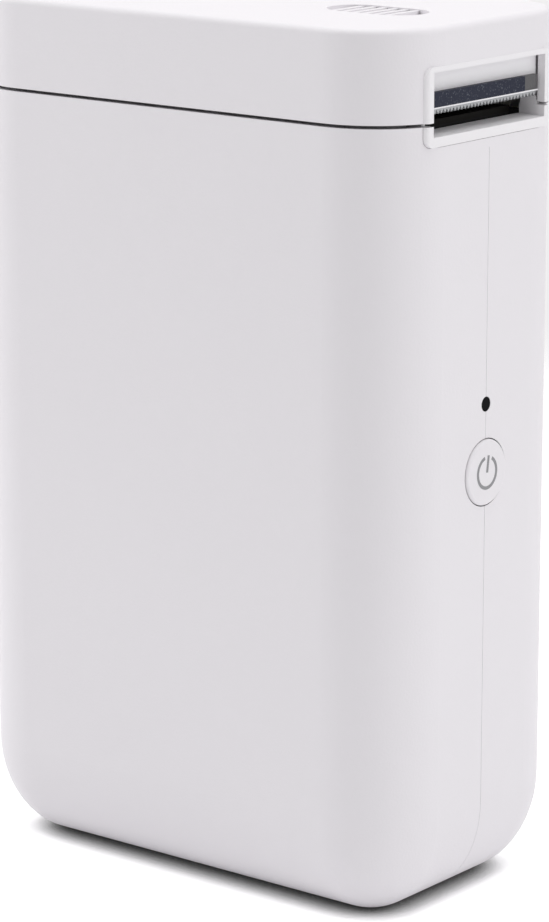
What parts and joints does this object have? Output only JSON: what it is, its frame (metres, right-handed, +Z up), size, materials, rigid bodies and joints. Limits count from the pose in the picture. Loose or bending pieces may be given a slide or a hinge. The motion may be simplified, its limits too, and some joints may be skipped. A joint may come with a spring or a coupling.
{
  "type": "thermal label printer",
  "caption": "Pocket thermal label printer: upright round-cornered white case, flip-up lid with platen and tear blade, label slot, power button and a geared print mechanism inside.",
  "frame": {"origin": "middle of the flat base", "axes": "+Z up, +X towards the narrow face with the label slot and the power button, -Y towards the wide face that the picture shows"},
  "size_m": [0.0813, 0.0456, 0.13],
  "materials": {
    "case_white": "satin",
    "bay_grey": "matte",
    "chassis_black": "matte",
    "frame_white": "satin",
    "steel": "satin",
    "dark_strip": "satin",
    "platen_rubber": "matte",
    "gear_plastic": "satin",
    "brass": "satin",
    "heat_sink": "satin",
    "head_ceramic": "gloss",
    "board_green": "gloss",
    "chip_black": "matte",
    "connector": "satin",
    "cell_foil": "satin",
    "foam_pad": "matte",
    "wire_red": "satin",
    "ribbon_amber": "gloss",
    "smoked": "gloss",
    "led_lens": "gloss"
  },
  "bodies": {
    "housing": {"front_shell": "case_white", "rear_shell": "case_white", "shell_screws": "steel", "screw_plugs": "case_white", "exit_lip": "case_white", "roll_cradle": "bay_grey", "hinge_pin": "steel", "mech_chassis": "chassis_black", "chassis_screws": "steel", "stepper_motor": "steel", "motor_screws": "steel", "gear_posts": "steel", "head_pivot_pin": "steel", "head_springs": "steel", "label_sensor": "chip_black", "main_board": "board_green", "board_screws": "steel", "board_chips": "chip_black", "usb_socket": "steel", "tact_switch": "chip_black", "status_led": "led_lens", "indicator_pipe": "smoked", "battery_cell": "cell_foil", "battery_pad": "foam_pad", "battery_lead": "wire_red", "battery_connector": "connector", "head_ribbon": "ribbon_amber", "ribbon_connector": "connector"},
    "lid": {"lid_cover": "case_white", "lid_frame": "frame_white", "lid_screws": "steel", "tear_blade": "steel", "blade_strip": "dark_strip", "platen_bushes": "brass"},
    "platen": {"platen_shaft": "steel", "platen_rubber": "platen_rubber", "platen_gear": "gear_plastic"},
    "idler": {"idler_gear": "gear_plastic"},
    "reduction": {"reduction_gear": "gear_plastic"},
    "motor_rotor": {"motor_pinion": "brass", "motor_shaft": "steel"},
    "head": {"thermal_head": "head_ceramic", "head_bracket": "heat_sink"},
    "button": {"power_button": "case_white"}
  },
  "joints": [
    {"name": "lid_hinge", "type": "hinge", "parent": "housing", "child": "lid", "pos_m": [-0.0389, 0, 0.1166], "axis": [0, -1, 0], "range_deg": [0, 80]},
    {"name": "platen_spin", "type": "hinge", "parent": "lid", "child": "platen", "pos_m": [0.0295, 0, 0.1209], "axis": [0, 1, 0], "continuous": true},
    {"name": "idler_spin", "type": "hinge", "parent": "housing", "child": "idler", "pos_m": [0.0295, 0, 0.11135], "axis": [0, 1, 0], "continuous": true},
    {"name": "reduction_spin", "type": "hinge", "parent": "housing", "child": "reduction", "pos_m": [0.02381, 0, 0.10566], "axis": [0, 1, 0], "continuous": true},
    {"name": "motor_spin", "type": "hinge", "parent": "housing", "child": "motor_rotor", "pos_m": [0.0202, 0, 0.09574], "axis": [0, 1, 0], "continuous": true},
    {"name": "head_tip", "type": "hinge", "parent": "housing", "child": "head", "pos_m": [0.0185, 0, 0.1132], "axis": [0, 1, 0], "range_deg": [0, 2.5], "stiffness_Nm_per_rad": 0.5, "springref_deg": -5.73, "deforming": ["head_springs"]},
    {"name": "button_press", "type": "slide", "parent": "housing", "child": "button", "axis": [-1, 0, 0], "range_m": [0, 0.0005], "stiffness_N_per_m": 1500}
  ],
  "couplings": [
    {"joint": "idler_spin", "follows": "platen_spin", "ratio": -0.9},
    {"joint": "reduction_spin", "follows": "platen_spin", "ratio": 1.5},
    {"joint": "motor_spin", "follows": "platen_spin", "ratio": -3.75}
  ]
}
